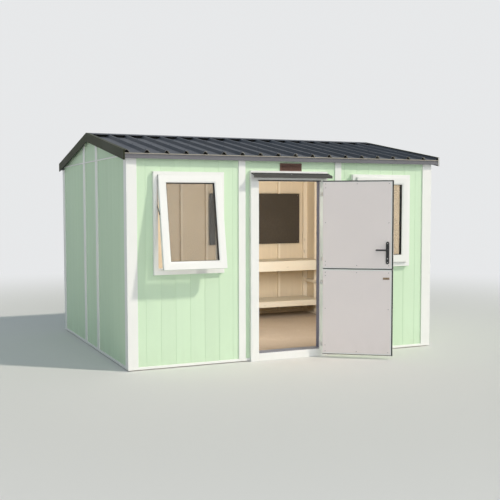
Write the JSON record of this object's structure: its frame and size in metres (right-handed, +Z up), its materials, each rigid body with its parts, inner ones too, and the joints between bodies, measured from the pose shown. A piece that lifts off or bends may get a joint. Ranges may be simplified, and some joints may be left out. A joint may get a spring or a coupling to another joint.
{
  "type": "garden workshop",
  "caption": "Gabled garden workshop with a ribbed metal roof, two top-hung windows, a split door with hood, and a workbench inside.",
  "frame": {"origin": "on the ground under the middle of the walls, at the underside of the middle floor joist", "axes": "+Z up, +X along the front to the right, -Y out of the front with the door and the windows"},
  "size_m": [3.655, 3.5931, 2.4168],
  "materials": {
    "green_cladding": "smooth matt panel",
    "white_trim": "satin white",
    "leaf_liner": "satin, warm white",
    "timber": "planed softwood",
    "board": "plain board",
    "dark_board": "oiled hardboard",
    "roof_steel": "matt anthracite coating",
    "glass": "clear",
    "rubber": "matt black",
    "steel": "satin zinc",
    "black_fittings": "satin black coating",
    "brown_plastic": "moulded brown"
  },
  "bodies": {
    "building": {"floor_frame": "timber", "floor_deck": "board", "front_wall_left": "green_cladding", "front_wall_right": "green_cladding", "front_wall_door_bay": "green_cladding", "back_wall": "green_cladding", "left_wall": "green_cladding", "right_wall": "green_cladding", "left_gable": "green_cladding", "right_gable": "green_cladding", "wall_studs": "timber", "wall_plates": "timber", "corner_boards": "white_trim", "cover_strips": "white_trim", "base_trims": "white_trim", "left_window_frame": "white_trim", "left_window_sash": "white_trim", "left_window_pane": "glass", "left_window_stays": "steel", "right_window_frame": "white_trim", "right_window_sash": "white_trim", "right_window_pane": "glass", "door_jambs": "white_trim", "door_head_rail": "white_trim", "door_threshold": "white_trim", "door_hood": "roof_steel", "frame_hinges": "steel", "front_roof_sheet": "roof_steel", "back_roof_sheet": "roof_steel", "ridge_flashing": "roof_steel", "left_barge_flashing": "roof_steel", "right_barge_flashing": "roof_steel", "eave_flashings": "roof_steel", "purlins": "timber", "ridge_beam": "timber", "rafters": "timber", "wall_vent": "brown_plastic", "bench_top": "board", "bench_apron": "board", "bench_supports": "timber", "bench_shelf": "timber", "tool_board": "dark_board"},
    "upper_door": {"upper_leaf": "white_trim", "upper_leaf_gasket": "rubber", "upper_leaf_liner": "leaf_liner", "upper_leaf_hinges": "steel", "handle_plates": "black_fittings"},
    "lower_door": {"lower_leaf": "white_trim", "lower_leaf_gasket": "rubber", "lower_leaf_liner": "leaf_liner", "lower_leaf_hinges": "steel", "door_bolt": "brown_plastic"},
    "lever": {"handle_lever": "black_fittings"}
  },
  "joints": [
    {"name": "upper_door_hinge", "type": "hinge", "parent": "building", "child": "upper_door", "pos_m": [0.3335, -1.5745, 1.4], "axis": [0, 0, 1], "range_deg": [-145, 15]},
    {"name": "lower_door_hinge", "type": "hinge", "parent": "building", "child": "lower_door", "pos_m": [0.3335, -1.5745, 0.49], "axis": [0, 0, 1], "range_deg": [-145, 15]},
    {"name": "lever_turn", "type": "hinge", "parent": "upper_door", "child": "lever", "pos_m": [0.86947, -1.98153, 1.144], "axis": [-0.5736, -0.8192, 0], "range_deg": [0, 35], "stiffness_Nm_per_rad": 1.5, "springref_deg": -28.65}
  ]
}
